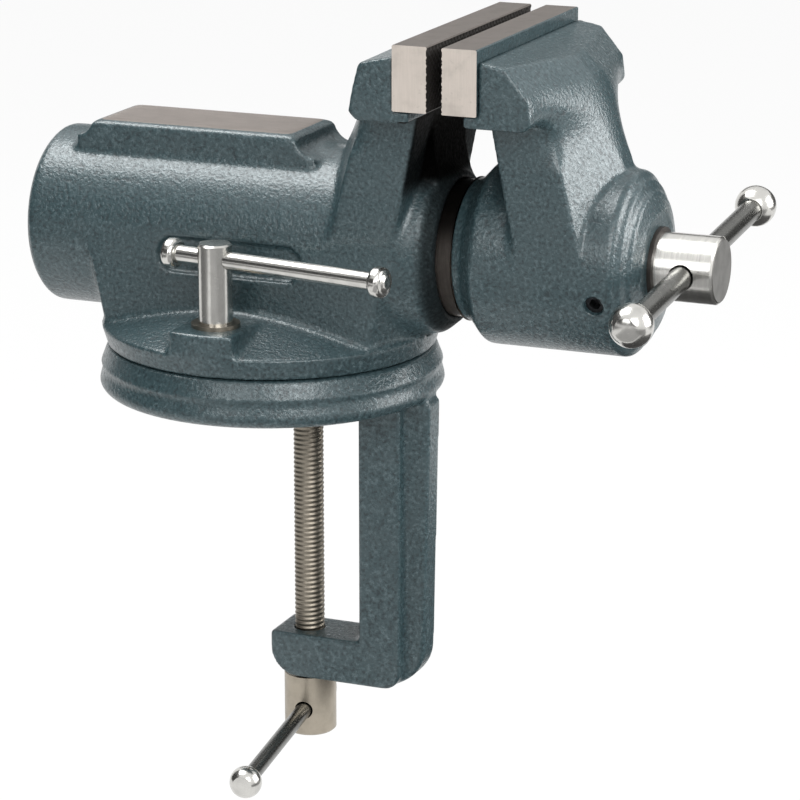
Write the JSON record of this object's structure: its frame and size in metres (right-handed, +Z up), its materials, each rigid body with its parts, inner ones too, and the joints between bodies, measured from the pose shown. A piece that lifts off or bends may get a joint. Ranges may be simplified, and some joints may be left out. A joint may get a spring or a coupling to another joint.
{
  "type": "clamp-on bench vise",
  "caption": "Small swivelling bench vise with a round sliding jaw, anvil and tommy bars, clamped to a bench edge by a screw C-frame.",
  "frame": {"origin": "middle of the base ring's underside, the face that sits on the bench, on the swivel axis", "axes": "+Z up along the swivel axis, +X along the spindle from the body towards the handle, -Y the side of the visible swivel lock"},
  "size_m": [0.2515, 0.1687, 0.2675],
  "materials": {
    "casting_paint": "hammered blue-grey enamel on cast iron, semi-gloss",
    "jaw_steel": "ground steel",
    "black_screw": "black oxide",
    "nut_iron": "machined iron",
    "washer_steel": "plain turned steel",
    "spindle_steel": "turned and plated steel",
    "bright_bar": "bright nickel plate",
    "clamp_steel": "plated screw, warm silver"
  },
  "bodies": {
    "base": {"base_casting": "casting_paint"},
    "vise_body": {"body_casting": "casting_paint", "fixed_jaw_plate": "jaw_steel", "fixed_jaw_screws": "black_screw", "spindle_nut": "nut_iron", "nut_screws": "black_screw", "rear_cap": "casting_paint", "guide_screw": "black_screw", "lock_tee_nut_near": "washer_steel", "lock_tee_nut_far": "washer_steel", "lock_washer_near": "washer_steel", "lock_washer_far": "washer_steel"},
    "sliding_jaw": {"moving_jaw": "casting_paint", "moving_jaw_plate": "jaw_steel", "moving_jaw_screws": "black_screw", "keeper_screw": "black_screw", "thrust_washer": "washer_steel"},
    "spindle": {"spindle": "spindle_steel"},
    "spindle_bar": {"spindle_bar": "bright_bar", "spindle_bar_ball_near": "bright_bar", "spindle_bar_ball_far": "bright_bar"},
    "lock_near": {"lock_bolt_near": "bright_bar"},
    "lock_bar_near": {"lock_bar_near": "bright_bar", "lock_bar_short_knob_near": "bright_bar", "lock_bar_long_knob_near": "bright_bar"},
    "lock_far": {"lock_bolt_far": "bright_bar"},
    "lock_bar_far": {"lock_bar_far": "bright_bar", "lock_bar_short_knob_far": "bright_bar", "lock_bar_long_knob_far": "bright_bar"},
    "clamp_pad": {"clamp_pad": "washer_steel", "pad_retaining_ring": "black_screw"},
    "clamp_screw": {"clamp_screw": "clamp_steel"},
    "clamp_bar": {"clamp_bar": "bright_bar", "clamp_bar_ball_near": "bright_bar", "clamp_bar_ball_far": "bright_bar"}
  },
  "joints": [
    {"name": "swivel", "type": "hinge", "parent": "base", "child": "vise_body", "pos_m": [0, 0, 0.0172], "axis": [0, 0, 1], "continuous": true},
    {"name": "jaw_slide", "type": "slide", "parent": "vise_body", "child": "sliding_jaw", "axis": [1, 0, 0], "range_m": [-0.0051, 0.052]},
    {"name": "spindle_turn", "type": "hinge", "parent": "sliding_jaw", "child": "spindle", "pos_m": [0.1574, 0, 0.0576], "axis": [1, 0, 0], "range_deg": [-470, 4690]},
    {"name": "spindle_bar_slide", "type": "slide", "parent": "spindle", "child": "spindle_bar", "axis": [0, 0.9968, 0.0802], "range_m": [-0.0575, 0.0441]},
    {"name": "lock_turn_near", "type": "hinge", "parent": "vise_body", "child": "lock_near", "pos_m": [0, -0.047, 0.057], "axis": [0, 0, 1], "range_deg": [-12, 13]},
    {"name": "lock_bar_slide_near", "type": "slide", "parent": "lock_near", "child": "lock_bar_near", "axis": [0.988, -0.1547, 0], "range_m": [-0.0024, 0.0086]},
    {"name": "lock_turn_far", "type": "hinge", "parent": "vise_body", "child": "lock_far", "pos_m": [0, 0.047, 0.057], "axis": [0, 0, 1], "range_deg": [-13, 12]},
    {"name": "lock_bar_slide_far", "type": "slide", "parent": "lock_far", "child": "lock_bar_far", "axis": [0.988, 0.1547, 0], "range_m": [-0.0024, 0.0086]},
    {"name": "clamp_slide", "type": "slide", "parent": "base", "child": "clamp_pad", "axis": [0, 0, 1], "range_m": [-0.078, 0]},
    {"name": "clamp_turn", "type": "hinge", "parent": "clamp_pad", "child": "clamp_screw", "pos_m": [0.014, 0, -0.121], "axis": [0, 0, 1], "range_deg": [-16060, 20]},
    {"name": "clamp_bar_slide", "type": "slide", "parent": "clamp_screw", "child": "clamp_bar", "axis": [0.134, -0.991, 0], "range_m": [-0.0655, 0]}
  ],
  "couplings": [
    {"joint": "spindle_turn", "follows": "jaw_slide", "rad_per_m": 1570.8},
    {"joint": "clamp_turn", "follows": "clamp_slide", "rad_per_m": 3590.4}
  ]
}
